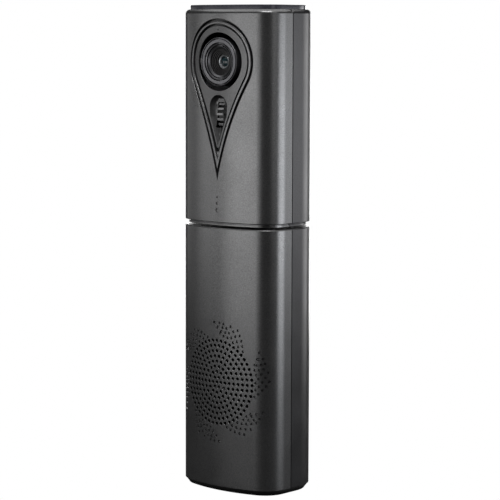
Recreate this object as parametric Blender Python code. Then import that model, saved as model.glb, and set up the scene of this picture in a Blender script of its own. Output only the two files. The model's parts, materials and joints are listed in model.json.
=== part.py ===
"""Conference camera tower: a speaker unit below, and a camera head that swivels on it.

Metres, +Z up. The origin is at the bottom centre of the foot, and the front faces -Y.
The lens tilts on trunnions, driven by a thumb wheel through an idler gear.
"""

import math

import bmesh
import bpy
from mathutils import Vector
from mathutils.geometry import delaunay_2d_cdt

for old in list(bpy.data.objects):
    bpy.data.objects.remove(old, do_unlink=True)

# Housing outline, seen from above
HALF_WIDTH = 0.0441
DEPTH = 0.0662
FRONT_RADIUS = 0.1032
FRONT_CORNER = 0.0189
REAR_RADIUS = 0.1814
REAR_CORNER = 0.0270
WALL = 0.0024
SEAM_Y = -0.0044
SEAM_GAP = 0.0003
FIT = 0.0003

# Heights
TOTAL_HEIGHT = 0.3400
CAP_HEIGHT = 0.0030
LOWER_TOP = 0.1860
WAIST_GAP = 0.0014
FOOT_HEIGHT = 0.0032
FOOT_INSET = 0.0012
FOOT_TAPER = 0.0021
PLATE = 0.0030
RIM_INSET = 0.0025
RIM_HEIGHT = 0.0018
CHAMFER = 0.0006
LOWER_EDGE = 0.0009
TOP_EDGE = 0.0031
TOP_LIP = 0.0034

# Camera head front
LENS_BELOW_TOP = 0.0392
DROP_RADIUS = 0.0295
DROP_LENGTH = 0.0818
DROP_FLANK = 0.245
LENS_RADIUS = 0.0167
LENS_GAP = 0.0034
LENS_RECESS = 0.0015
TILT_DEPTH = 0.0107
TILT_RANGE = 15.0
GROOVE = 0.0014
RIM_WIDTH = 0.0021
INNER_GROOVE = 0.0009
FACE_RECESS = 0.0009

# Thumb wheel and gears
WHEEL_RADIUS = 0.0150
WHEEL_WIDTH = 0.0056
WHEEL_BELOW_LENS = 0.0166
WHEEL_RECESS = 0.00265
WHEEL_RIBS = 25
SCOOP_RADIUS = 0.0078
SCOOP_RISE = 0.0058
SCOOP_OFFSET = 0.0060
MODULE = 0.001
SECTOR_TEETH = 40
IDLER_TEETH = 20
PINION_TEETH = 16
GEAR_WIDTH = 0.0024
BACKLASH = 0.00016
ARM_THICKNESS = 0.0020

# Swivel
SPIGOT_RADIUS = 0.0120
SPIGOT_BORE = 0.0075
SWIVEL_RANGE = 135.0
STOP_CIRCLE = 0.0220
STOP_RADIUS = 0.0015

# Speaker
SPEAKER_Z = 0.0776
SPEAKER_RADIUS = 0.0310
CONE_RADIUS = 0.0221
CONE_TRAVEL = 0.0010

# Frame posts, screws, rear ports
POST_RADIUS = 0.0026
SCREW_SHANK = 0.0013
SCREW_HEAD = 0.0025
SCREW_HEAD_HEIGHT = 0.0012
PORT_WIDTH = 0.050
PORT_LOW = 0.014
PORT_HIGH = 0.034
PORT_BORDER = 0.0020
BUTTON_X = 0.020
BUTTON_RADIUS = 0.0030

ROUND = 24
SMALL_ROUND = 12

FRONT_Y = -DEPTH / 2
UPPER_RIM_TOP = TOTAL_HEIGHT - CAP_HEIGHT
LENS_Z = TOTAL_HEIGHT - LENS_BELOW_TOP
LENS_OPENING = LENS_RADIUS + LENS_GAP
DROP_TIP_Z = LENS_Z - DROP_LENGTH
WHEEL_Z = LENS_Z - LENS_OPENING - WHEEL_BELOW_LENS
HEAD_BOTTOM = LOWER_TOP + WAIST_GAP
DECK_LOW = LOWER_TOP - PLATE
FLOOR_TOP = HEAD_BOTTOM + PLATE
SHELL_LOW = FOOT_HEIGHT + FIT
TILT_Y = FRONT_Y + LENS_RECESS + TILT_DEPTH
WHEEL_Y = FRONT_Y + WHEEL_RECESS + WHEEL_RADIUS


# ---------------------------------------------------------------- outline of the housing

def arc_centre(half, corner, radius):
    """Half-angle of a broad arc, and how far its corner centre lies from the broad centre."""
    across = half - corner
    along = math.sqrt((radius - corner) ** 2 - across ** 2)
    return math.atan2(across, along), along


FRONT_ANGLE, FRONT_ALONG = arc_centre(HALF_WIDTH, FRONT_CORNER, FRONT_RADIUS)
REAR_ANGLE, REAR_ALONG = arc_centre(HALF_WIDTH, REAR_CORNER, REAR_RADIUS)
FRONT_CENTRE_Y = FRONT_Y + FRONT_RADIUS
REAR_CENTRE_Y = DEPTH / 2 - REAR_RADIUS
FRONT_CORNER_Y = FRONT_CENTRE_Y - FRONT_ALONG
REAR_CORNER_Y = REAR_CENTRE_Y + REAR_ALONG
POST_X = HALF_WIDTH - 0.0101
POST_FRONT_Y = FRONT_CORNER_Y - 0.0042
POST_REAR_Y = REAR_CORNER_Y + 0.0119


def steps(start, end, count):
    return [start + (end - start) * i / count for i in range(count + 1)]


def arc(cx, cy, radius, angles):
    """Outline stations (x, y, angle), where the angle turns from -Y towards +X."""
    return [(cx + radius * math.sin(a), cy - radius * math.cos(a), a) for a in angles]


def front_path(count=8, corner=5):
    """Stations of the front shell, from its left seam round the front to its right seam."""
    right = math.pi / 2
    x = HALF_WIDTH - FRONT_CORNER
    seam = SEAM_Y - SEAM_GAP / 2
    path = [(-HALF_WIDTH, seam, -right)]
    path += arc(-x, FRONT_CORNER_Y, FRONT_CORNER, steps(-right, -FRONT_ANGLE, corner))
    path += arc(0, FRONT_CENTRE_Y, FRONT_RADIUS, steps(-FRONT_ANGLE, FRONT_ANGLE, count))[1:-1]
    path += arc(x, FRONT_CORNER_Y, FRONT_CORNER, steps(FRONT_ANGLE, right, corner))
    return path + [(HALF_WIDTH, seam, right)]


def rear_path(count=4, corner=5):
    """Stations of the rear shell, from its right seam round the back to its left seam."""
    right = math.pi / 2
    x = HALF_WIDTH - REAR_CORNER
    seam = SEAM_Y + SEAM_GAP / 2
    low, high = math.pi - REAR_ANGLE, math.pi + REAR_ANGLE
    path = [(HALF_WIDTH, seam, right)]
    path += arc(x, REAR_CORNER_Y, REAR_CORNER, steps(right, low, corner))
    path += arc(0, REAR_CENTRE_Y, REAR_RADIUS, steps(low, high, count))[1:-1]
    path += arc(-x, REAR_CORNER_Y, REAR_CORNER, steps(high, 2 * math.pi - right, corner))
    return path + [(-HALF_WIDTH, seam, 2 * math.pi - right)]


def full_path():
    """Stations once round the housing, without the seams."""
    return front_path()[1:-1] + rear_path()[1:-1]


def inward(station, inset):
    """The plan point that lies inset behind a station of the outline."""
    x, y, a = station
    return x - inset * math.sin(a), y + inset * math.cos(a)


def plan(inset):
    return [inward(station, inset) for station in full_path()]


def front_station(s):
    """Station at arc length s from the front centre line."""
    side = -1 if s < 0 else 1
    s = abs(s)
    broad = FRONT_RADIUS * FRONT_ANGLE
    if s <= broad:
        x, y, a = arc(0, FRONT_CENTRE_Y, FRONT_RADIUS, [s / FRONT_RADIUS])[0]
    else:
        angle = FRONT_ANGLE + (s - broad) / FRONT_CORNER
        x, y, a = arc(HALF_WIDTH - FRONT_CORNER, FRONT_CORNER_Y, FRONT_CORNER, [angle])[0]
    return side * x, y, side * a


def inner_front_y(x, inset):
    """Y of the surface that lies inset behind the broad front arc, at x."""
    return FRONT_CENTRE_Y - math.sqrt((FRONT_RADIUS - inset) ** 2 - x ** 2)


def inner_rear_y(x, inset):
    """Y of the surface that lies inset behind the rear corner's arc, at x."""
    across = x - (HALF_WIDTH - REAR_CORNER)
    return REAR_CORNER_Y + math.sqrt((REAR_CORNER - inset) ** 2 - across ** 2)


PORT_FACE_Y = inner_rear_y(PORT_WIDTH / 2 + PORT_BORDER, WALL + FIT)


# ---------------------------------------------------------------- builders

MATERIALS = {
    "graphite": ((0.075, 0.078, 0.085), 0.42, 0.85),
    "charcoal": ((0.055, 0.055, 0.060), 0.48, 0.6),
    "black_plastic": ((0.012, 0.012, 0.013), 0.45, 0.0),
    "rubber": ((0.010, 0.010, 0.010), 0.8, 0.0),
    "steel": ((0.55, 0.55, 0.56), 0.35, 1.0),
    "pom": ((0.75, 0.75, 0.72), 0.5, 0.0),
    "board": ((0.02, 0.12, 0.05), 0.5, 0.0),
    "cloth": ((0.01, 0.01, 0.01), 0.9, 0.0),
    "paper": ((0.03, 0.03, 0.03), 0.8, 0.0),
    "glass": ((0.02, 0.06, 0.08), 0.05, 0.0),
    "magnet": ((0.10, 0.10, 0.11), 0.6, 0.3),
    "lamp": ((0.8, 0.8, 0.8), 0.4, 0.0),
}


def finished(name, mesh, slot):
    """An object for a mesh, facing outwards, smooth but for its sharp edges."""
    shape = bmesh.new()
    shape.from_mesh(mesh)
    bmesh.ops.recalc_face_normals(shape, faces=shape.faces[:])
    shape.to_mesh(mesh)
    shape.free()
    mesh.shade_smooth()
    mesh.set_sharp_from_angle(angle=math.radians(35))
    item = bpy.data.objects.new(name, mesh)
    bpy.context.collection.objects.link(item)
    colour, roughness, metallic = MATERIALS[slot]
    material = bpy.data.materials.new(name + "_" + slot)
    material.use_nodes = True
    shader = material.node_tree.nodes["Principled BSDF"]
    shader.inputs["Base Color"].default_value = (*colour, 1.0)
    shader.inputs["Roughness"].default_value = roughness
    shader.inputs["Metallic"].default_value = metallic
    mesh.materials.append(material)
    return item


def solid(name, points, faces, slot):
    mesh = bpy.data.meshes.new(name)
    mesh.from_pydata(points, [], faces)
    return finished(name, mesh, slot)


def skinned(name, rings, slot, closed_rings=False):
    """A solid from rings of points: each ring is a closed loop, joined to the next one.

    The first and last rings are capped, unless the rings themselves run round in a circle.
    """
    size = len(rings[0])
    points = [p for ring in rings for p in ring]
    faces = []
    count = len(rings) if closed_rings else len(rings) - 1
    for i in range(count):
        a, b = i * size, ((i + 1) % len(rings)) * size
        faces += [(a + k, a + (k + 1) % size, b + (k + 1) % size, b + k) for k in range(size)]
    if not closed_rings:
        faces.append(tuple(range(size)))
        faces.append(tuple(range(len(points) - size, len(points))))
    return solid(name, points, faces, slot)


def swept_wall(name, path, section, slot):
    """A shell: a closed section of (inset, z) points, swept along a path of stations."""
    rings = [[(*inward(station, inset), z) for inset, z in section] for station in path]
    return skinned(name, rings, slot)


def lofted(name, rows, slot):
    """A solid whose level outlines are the housing's own, from rows of (inset, z)."""
    rings = [[(x, y, z) for x, y in plan(inset)] for inset, z in rows]
    return skinned(name, rings, slot)


AXES = {
    "x": lambda r, a, h: (h, r * math.cos(a), r * math.sin(a)),
    "y": lambda r, a, h: (r * math.cos(a), h, r * math.sin(a)),
    "z": lambda r, a, h: (r * math.cos(a), r * math.sin(a), h),
}


def turned(name, profile, axis, centre, slot, segments=ROUND):
    """A closed profile of (radius, height) turned about an axis through centre."""
    base = Vector(centre)
    points = []
    rows = []
    for r, h in profile:
        if r == 0:
            rows.append([len(points)] * segments)
            points.append(base + Vector(AXES[axis](0, 0, h)))
            continue
        rows.append(list(range(len(points), len(points) + segments)))
        for i in range(segments):
            angle = 2 * math.pi * i / segments
            points.append(base + Vector(AXES[axis](r, angle, h)))
    faces = []
    for row, following in zip(rows, rows[1:] + rows[:1]):
        for i in range(segments):
            j = (i + 1) % segments
            corners = [row[i], row[j], following[j], following[i]]
            face = [c for n, c in enumerate(corners) if c != corners[n - 1]]
            if len(set(face)) > 2:
                faces.append(face)
    return solid(name, [tuple(p) for p in points], faces, slot)


def cylinder(name, radius, axis, centre, low, high, slot, segments=SMALL_ROUND):
    profile = [(0, low), (radius, low), (radius, high), (0, high)]
    return turned(name, profile, axis, centre, slot, segments)


def box(name, low, high, slot):
    (x0, y0, z0), (x1, y1, z1) = low, high
    rings = [[(x0, y0, z), (x1, y0, z), (x1, y1, z), (x0, y1, z)] for z in (z0, z1)]
    return skinned(name, rings, slot)


def circle(cx, cy, radius, count=SMALL_ROUND):
    angles = [2 * math.pi * i / count for i in range(count)]
    return [(cx + radius * math.cos(a), cy + radius * math.sin(a)) for a in angles]


def inside(point, loop):
    """Whether a point lies inside a closed loop, by counting crossings."""
    x, y = point
    found = False
    for (x0, y0), (x1, y1) in zip(loop, loop[1:] + loop[:1]):
        if (y0 > y) != (y1 > y) and x < x0 + (y - y0) * (x1 - x0) / (y1 - y0):
            found = not found
    return found


def slab(name, outer, holes, place, slot, spacing=None):
    """A plate of a flat region: an outer loop less its holes, with two faces.

    place(u, v, side) gives the 3D point of each face, where side is 0 or 1. With a spacing,
    extra points follow a face that curves along u.
    """
    scale = 1000.0
    flat = []
    edges = []
    for loop in [outer] + holes:
        start = len(flat)
        flat += [Vector((u * scale, v * scale)) for u, v in loop]
        edges += [(start + i, start + (i + 1) % len(loop)) for i in range(len(loop))]
    if spacing:
        us = [u for u, v in outer]
        vs = [v for u, v in outer]
        columns = range(math.ceil(min(us) / spacing), math.floor(max(us) / spacing) + 1)
        rows = range(math.ceil(min(vs) / (2 * spacing)), math.floor(max(vs) / (2 * spacing)) + 1)
        loops = [outer] + holes
        for u, v in [(i * spacing, j * 2 * spacing) for i in columns for j in rows]:
            near = min(math.dist((u, v), p) for loop in loops for p in loop)
            clear = near > spacing / 2 and not any(inside((u, v), hole) for hole in holes)
            if clear and inside((u, v), outer):
                flat.append(Vector((u * scale, v * scale)))
    verts, _, triangles, _, _, _ = delaunay_2d_cdt(flat, edges, [], 0, 1e-6)
    uv = [(p.x / scale, p.y / scale) for p in verts]

    def kept(face):
        middle = (sum(uv[i][0] for i in face) / 3, sum(uv[i][1] for i in face) / 3)
        return inside(middle, outer) and not any(inside(middle, hole) for hole in holes)

    faces = [tuple(face) for face in triangles if kept(face)]
    count = len(uv)
    points = [place(u, v, 0) for u, v in uv] + [place(u, v, 1) for u, v in uv]
    used = {}
    for face in faces:
        for a, b in zip(face, face[1:] + face[:1]):
            used[(a, b)] = True
    rim = [(a, b) for a, b in used if (b, a) not in used]
    walls = [(b, a, a + count, b + count) for a, b in rim]
    back = [tuple(i + count for i in reversed(face)) for face in faces]
    item = solid(name, points, faces + back + walls, slot)
    return item


def level(z0, z1):
    return lambda u, v, side: (u, v, z1 if side else z0)


def across(x0, x1):
    """A face region drawn in (y, z), extruded along X."""
    return lambda u, v, side: (x1 if side else x0, u, v)


def on_front(inset_out, inset_in):
    """A region drawn in (arc length, z), laid on the curved front."""
    def place(u, v, side):
        x, y = inward(front_station(u), inset_in if side else inset_out)
        return (x, y, v)
    return place


def boolean(item, tool, operation):
    """Cut a tool from an item, or join it, and keep the tool only as a guide."""
    tool.hide_render = True
    tool.display_type = "WIRE"
    modifier = item.modifiers.new(operation.lower() + "_" + tool.name, "BOOLEAN")
    modifier.operation = operation
    modifier.object = tool
    modifier.solver = "EXACT"


def cut(item, tool):
    boolean(item, tool, "DIFFERENCE")


def join(item, tool):
    boolean(item, tool, "UNION")


def screw(name, head_centre, direction, length):
    """A pan-head screw along Z; head_centre is the middle of the head's underside."""
    up = -direction * SCREW_HEAD_HEIGHT
    down = direction * length
    profile = [(0, up), (SCREW_HEAD, up), (SCREW_HEAD, 0), (SCREW_SHANK, 0), (SCREW_SHANK, down), (0, down)]
    return turned(name, profile, "z", head_centre, "steel", SMALL_ROUND)


# ---------------------------------------------------------------- lower unit

POSTS = [(sx * POST_X, y) for y in (POST_FRONT_Y, POST_REAR_Y) for sx in (-1, 1)]
SHANK_HOLE = SCREW_SHANK + FIT
HEAD_HOLE = SCREW_HEAD + FIT
PLATE_INSET = WALL + FIT


def counterbore(item, x, y, low, high):
    """A pocket for a screw's head."""
    tool = cylinder(item.name + "_pocket", HEAD_HOLE, "z", (x, y, 0), low, high, "steel")
    cut(item, tool)


def make_foot_and_frame():
    rows = [(FOOT_INSET + FOOT_TAPER, 0), (FOOT_INSET, 0.75 * FOOT_HEIGHT), (FOOT_INSET, FOOT_HEIGHT)]
    lofted("foot_pad", rows, "rubber")
    base_low = SHELL_LOW + FIT
    base_high = base_low + PLATE
    head_depth = SCREW_HEAD_HEIGHT + 2 * FIT
    holes = [circle(x, y, SHANK_HOLE) for x, y in POSTS]
    base = slab("base_plate", plan(PLATE_INSET), holes, level(base_low, base_high), "steel")
    bush_hole = circle(0, 0, SPIGOT_RADIUS + 2 * FIT + 0.0024, ROUND)
    stop_hole = circle(0, STOP_CIRCLE, STOP_RADIUS + FIT)
    deck = slab("top_deck", plan(PLATE_INSET), holes + [bush_hole, stop_hole],
                level(DECK_LOW, LOWER_TOP), "black_plastic")
    for number, (x, y) in enumerate(POSTS, 1):
        counterbore(base, x, y, base_low - PLATE, base_low + head_depth)
        counterbore(deck, x, y, LOWER_TOP - head_depth, LOWER_TOP + PLATE)
        bottom = base_high + FIT
        top = DECK_LOW - FIT
        tube = [(SHANK_HOLE, bottom), (POST_RADIUS, bottom), (POST_RADIUS, top), (SHANK_HOLE, top)]
        turned(f"frame_post_{number}", tube, "z", (x, y, 0), "steel", SMALL_ROUND)
        screw(f"base_screw_{number}", (x, y, base_low + head_depth - FIT), 1, 0.008)
        screw(f"deck_screw_{number}", (x, y, LOWER_TOP - head_depth + FIT), -1, 0.008)


def make_lower_shells():
    bevel = 0.3 * LOWER_EDGE
    section = [(0, SHELL_LOW), (0, LOWER_TOP - LOWER_EDGE), (bevel, LOWER_TOP - bevel),
               (LOWER_EDGE, LOWER_TOP), (WALL, LOWER_TOP), (WALL, SHELL_LOW)]
    swept_wall("lower_front_shell", front_path(), section, "graphite")
    rear = swept_wall("lower_rear_shell", rear_path(), section, "charcoal")
    opening = box("port_cutter", (-PORT_WIDTH / 2, REAR_CORNER_Y, PORT_LOW),
                  (PORT_WIDTH / 2, DEPTH, PORT_HIGH), "charcoal")
    cut(rear, opening)


def make_ports():
    half = PORT_WIDTH / 2 + PORT_BORDER
    thickness = 0.002
    back = PORT_FACE_Y - thickness
    middle = (PORT_LOW + PORT_HIGH) / 2

    def upright(u, v, side):
        return (u, PORT_FACE_Y if side else back, v)

    def rounded(cx, width, height):
        r = height / 2
        ends = [(cx + (width / 2 - r), 0), (cx - (width / 2 - r), math.pi)]
        return [(x + r * math.cos(a), middle + r * math.sin(a))
                for x, turn in ends
                for a in steps(turn - math.pi / 2, turn + math.pi / 2, 5)]

    sockets = {
        "usb_socket": (-0.0195, 0.0095, 0.0038),
        "audio_socket": (-0.0060, 0.0062, 0.0062),
        "power_socket": (0.0070, 0.0090, 0.0090),
    }
    rim = [(-half, PORT_LOW - PORT_BORDER), (half, PORT_LOW - PORT_BORDER),
           (half, PORT_HIGH + PORT_BORDER), (-half, PORT_HIGH + PORT_BORDER)]
    holes = [rounded(x, w + 2 * FIT, h + 2 * FIT) for x, w, h in sockets.values()]
    holes.append(circle(BUTTON_X, middle, BUTTON_RADIUS + FIT, 16))
    slab("port_panel", rim, holes, upright, "black_plastic")

    def socket_face(u, v, side):
        return (u, PORT_FACE_Y + 0.0004 if side else back - 0.006, v)

    mouths = {"usb_socket": (0.0080, 0.0024), "audio_socket": (0.0037, 0.0037),
              "power_socket": (0.0058, 0.0058)}
    slots = {"usb_socket": "steel", "audio_socket": "black_plastic", "power_socket": "black_plastic"}
    for name, (x, w, h) in sockets.items():
        mouth = rounded(x, *mouths[name])
        slab(name, rounded(x, w, h), [mouth], socket_face, slots[name])

    flange = BUTTON_RADIUS + 0.0010
    tip = PORT_FACE_Y + 0.0016
    profile = [(0, back - 0.0015), (flange, back - 0.0015), (flange, back - FIT),
               (BUTTON_RADIUS, back - FIT), (BUTTON_RADIUS, tip - 0.0003),
               (BUTTON_RADIUS - 0.0003, tip), (0, tip)]
    turned("power_button", profile, "y", (BUTTON_X, 0, middle), "black_plastic", 16)


def make_speaker():
    centre = (0, 0, SPEAKER_Z)
    flange_y = inner_front_y(SPEAKER_RADIUS, WALL) + 0.0019
    flange = 0.0016
    baffle_y = flange_y + flange + FIT
    baffle_back = baffle_y + 0.0025
    bore = SPEAKER_RADIUS - 0.0027
    cloth = circle(0, SPEAKER_Z, SPEAKER_RADIUS + 0.003, ROUND)
    slab("grille_cloth", cloth, [], on_front(WALL + FIT, WALL + FIT + 0.0004), "cloth", spacing=0.008)

    half, tall = SPEAKER_RADIUS + 0.0033, SPEAKER_RADIUS + 0.014
    rim = [(-half, SPEAKER_Z - tall), (half, SPEAKER_Z - tall),
           (half, SPEAKER_Z + tall), (-half, SPEAKER_Z + tall)]
    slab("speaker_baffle", rim, [circle(0, SPEAKER_Z, bore, ROUND)],
         lambda u, v, side: (u, baffle_back if side else baffle_y, v), "black_plastic")

    frame = [(bore - 0.0036, flange_y), (SPEAKER_RADIUS, flange_y), (SPEAKER_RADIUS, flange_y + flange),
             (bore - FIT, flange_y + flange), (bore - FIT, flange_y + 0.006), (0.0170, flange_y + 0.0155),
             (0.0095, flange_y + 0.0155), (0.0095, flange_y + 0.0143), (0.0163, flange_y + 0.0143),
             (bore - 0.0018, flange_y + 0.0055), (bore - 0.0018, flange_y + 0.0022),
             (bore - 0.0036, flange_y + 0.0022)]
    turned("speaker_frame", frame, "y", centre, "steel")

    rear = flange_y + 0.0155 + FIT
    pole = rear + 0.0077
    magnet = [(0, rear), (0.0065, rear), (0.0065, pole), (0.0083, pole), (0.0083, rear),
              (0.0175, rear), (0.0175, pole + 0.003), (0, pole + 0.003)]
    turned("speaker_magnet", magnet, "y", centre, "magnet")

    front = flange_y + 0.0014
    inner, outer = CONE_RADIUS + FIT, bore - 0.0036 - FIT
    middle = (inner + outer) / 2
    roll = [(outer, front), (outer, front + 0.0006), (middle + 0.0006, front - 0.0002),
            (middle, front - 0.0004), (middle - 0.0006, front - 0.0002), (inner, front + 0.0006),
            (inner, front), (middle - 0.0006, front - 0.0008), (middle, front - 0.0010),
            (middle + 0.0006, front - 0.0008)]
    turned("speaker_surround", roll, "y", centre, "rubber")

    coil, coil_wall = 0.0070, 0.0008
    deep = front + 0.0062
    cone = [(0, deep - 0.0020), (0.0045, deep - 0.0012), (0.0078, deep), (CONE_RADIUS, front),
            (CONE_RADIUS, front + 0.0008), (coil + coil_wall, deep + 0.0008),
            (coil + coil_wall, pole - 0.004), (coil, pole - 0.004), (coil, deep + 0.0008),
            (0, deep - 0.0012)]
    turned("speaker_cone", cone, "y", centre, "paper")


def make_lower_board():
    half = POST_X - POST_RADIUS - 0.0014
    front = POST_REAR_Y - 0.0010
    box("main_board", (-half, front, PORT_HIGH + 0.018), (half, front + 0.0016, LOWER_TOP - 0.018), "board")


# ---------------------------------------------------------------- swivel

def make_swivel():
    running = FIT
    bush_in = SPIGOT_RADIUS + running
    bush_out = bush_in + 0.0024
    flange_top = HEAD_BOTTOM - FIT
    bush = [(bush_in, DECK_LOW), (bush_out, DECK_LOW), (bush_out, LOWER_TOP + FIT),
            (bush_out + 0.003, LOWER_TOP + FIT), (bush_out + 0.003, flange_top), (bush_in, flange_top)]
    turned("swivel_bush", bush, "z", (0, 0, 0), "pom")

    nut_top = DECK_LOW - FIT
    nut_low = nut_top - 0.0035
    flange_low = FLOOR_TOP + FIT
    flange_high = flange_low + 0.0020
    flange_radius = SPIGOT_RADIUS + 0.0080
    tube = [(SPIGOT_BORE, nut_low - 0.002), (SPIGOT_RADIUS, nut_low - 0.002), (SPIGOT_RADIUS, flange_low),
            (flange_radius, flange_low), (flange_radius, flange_high), (SPIGOT_BORE, flange_high)]
    spigot = turned("swivel_spigot", tube, "z", (0, 0, 0), "steel")
    nut = [(SPIGOT_RADIUS + FIT, nut_low), (SPIGOT_RADIUS + 0.005, nut_low),
           (SPIGOT_RADIUS + 0.005, nut_top), (SPIGOT_RADIUS + FIT, nut_top)]
    turned("swivel_nut", nut, "z", (0, 0, 0), "steel")

    circle_radius = SPIGOT_RADIUS + 0.0045
    spots = [(circle_radius * math.cos(a), circle_radius * math.sin(a))
             for a in (math.radians(33 + 120 * i) for i in range(3))]
    bore = circle(0, 0, SPIGOT_RADIUS + FIT, ROUND)
    holes = [bore] + [circle(x, y, SHANK_HOLE) for x, y in spots]
    floor = slab("head_floor", plan(RIM_INSET + WALL + FIT), holes, level(HEAD_BOTTOM, FLOOR_TOP),
                 "black_plastic")
    for number, (x, y) in enumerate(spots, 1):
        tool = cylinder(f"spigot_hole_{number}", SHANK_HOLE, "z", (x, y, 0), flange_low - 0.002,
                        flange_high + 0.002, "steel")
        cut(spigot, tool)
        screw(f"spigot_screw_{number}", (x, y, flange_high + FIT), -1, 0.0045)

    clear = STOP_RADIUS + FIT
    half = math.radians(SWIVEL_RANGE) + math.asin(clear / STOP_CIRCLE)
    angles = steps(math.pi / 2 - half, math.pi / 2 + half, 36)
    outer = [((STOP_CIRCLE + clear) * math.cos(a), (STOP_CIRCLE + clear) * math.sin(a)) for a in angles]
    inner = [((STOP_CIRCLE - clear) * math.cos(a), (STOP_CIRCLE - clear) * math.sin(a)) for a in angles]
    groove_top = HEAD_BOTTOM + 0.0018
    loop = outer + inner[::-1]
    rings = [[(x, y, z) for x, y in loop] for z in (HEAD_BOTTOM - 0.002, groove_top)]
    cut(floor, skinned("stop_groove", rings, "steel"))
    cylinder("stop_pin", STOP_RADIUS, "z", (0, STOP_CIRCLE, 0), DECK_LOW, groove_top - FIT, "steel")


# ---------------------------------------------------------------- teardrop on the head's front

def teardrop(offset, flank_steps=7, round_steps=18):
    """The teardrop outline moved inwards by an offset, as (arc length, z) points.

    A circle round the lens is met by two hollow flanks, which cross at the tip. Moved outwards,
    the outline ends in a short flat edge that lies the offset below the tip.
    """
    drop = LENS_Z - DROP_TIP_Z
    reach = DROP_RADIUS + DROP_FLANK
    cz = (DROP_FLANK ** 2 - reach ** 2 - drop ** 2) / (2 * drop)
    cx = math.sqrt(reach ** 2 - cz ** 2)
    radius = DROP_RADIUS - offset
    flank = DROP_FLANK + offset
    touch = math.atan2(cz, cx)
    start = math.pi + touch
    if offset < 0:
        end = math.pi - math.asin((offset - drop - cz) / flank)
    else:
        end = math.pi - math.acos(cx / flank)
    right = [(cx + flank * math.cos(a), LENS_Z + cz + flank * math.sin(a))
             for a in steps(end, start, flank_steps)]
    if offset >= 0:
        right[0] = (0.0, right[0][1])
    ring = [(radius * math.cos(a), LENS_Z + radius * math.sin(a))
            for a in steps(touch, math.pi - touch, round_steps)]
    left = [(-x, z) for x, z in right[::-1] if x > 0]
    return right[:-1] + ring + left[1:]


def scoop():
    """The finger opening over the thumb wheel: hollow flanks below, a half circle above."""
    middle = WHEEL_Z + SCOOP_RISE
    outline = teardrop(SCOOP_OFFSET, flank_steps=14)
    flanks = [p for p in outline if p[1] < middle and abs(p[0]) < SCOOP_RADIUS]
    tip = [p for p in flanks if p[0] == 0]
    right = [p for p in flanks if p[0] > 0]
    left = [p for p in flanks if p[0] < 0]
    top = [(SCOOP_RADIUS * math.cos(a), middle + SCOOP_RADIUS * math.sin(a)) for a in steps(0, math.pi, 10)]
    return tip + right + top + left


CARRIER_LAP = 0.0010
CARRIER_OUT = WALL + FIT
CARRIER_IN = CARRIER_OUT + 0.0018


def make_head_shells():
    low = HEAD_BOTTOM
    rim_in = RIM_INSET + WALL
    bevel = 0.3 * TOP_EDGE
    section = [
        (RIM_INSET, low), (RIM_INSET, low + RIM_HEIGHT), (0, low + RIM_HEIGHT + CHAMFER),
        (0, UPPER_RIM_TOP - TOP_EDGE), (bevel, UPPER_RIM_TOP - bevel), (TOP_EDGE, UPPER_RIM_TOP),
        (TOP_LIP, UPPER_RIM_TOP), (TOP_LIP, UPPER_RIM_TOP - 0.0024), (WALL, UPPER_RIM_TOP - 0.0034),
        (WALL, low + RIM_HEIGHT + CHAMFER + 0.0012), (rim_in, low + RIM_HEIGHT + 0.0010), (rim_in, low),
    ]
    front = swept_wall("upper_front_shell", front_path(), section, "graphite")
    swept_wall("upper_rear_shell", rear_path(), section, "charcoal")
    cut(front, slab("teardrop_cutter", teardrop(0), [], on_front(-0.003, 0.006), "graphite", spacing=0.006))
    half = 0.004
    pipe_front = inner_front_y(half, WALL) + FIT
    pipe_low = (-half, pipe_front, low + 0.0066)
    pipe_high = (half, pipe_front + 0.0030, low + 0.0236)
    pipe = box("light_pipe", pipe_low, pipe_high, "lamp")
    lamps = ((0.0108, 0.0013), (0.0156, 0.00095), (0.0199, 0.0006))
    for number, (height, r) in enumerate(lamps, 1):
        spot = (0, 0, low + height)
        hole = cylinder(f"lamp_hole_{number}", r, "y", spot, FRONT_Y - 0.002,
                        FRONT_Y + WALL + 0.0016, "graphite")
        cut(front, hole)
        stub = cylinder(f"lamp_stub_{number}", r - 0.00015, "y", spot, FRONT_Y + 0.0006,
                        pipe_front + 0.0012, "lamp")
        join(pipe, stub)


def make_top_cap():
    inset = TOP_LIP + FIT
    rows = [(inset + 0.0018, TOTAL_HEIGHT - 0.0016), (inset + 0.0018, UPPER_RIM_TOP - 0.0020),
            (inset, UPPER_RIM_TOP - 0.0020), (inset, TOTAL_HEIGHT - 0.0006), (inset + 0.0006, TOTAL_HEIGHT)]
    lofted("top_cap", rows, "charcoal")


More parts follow.
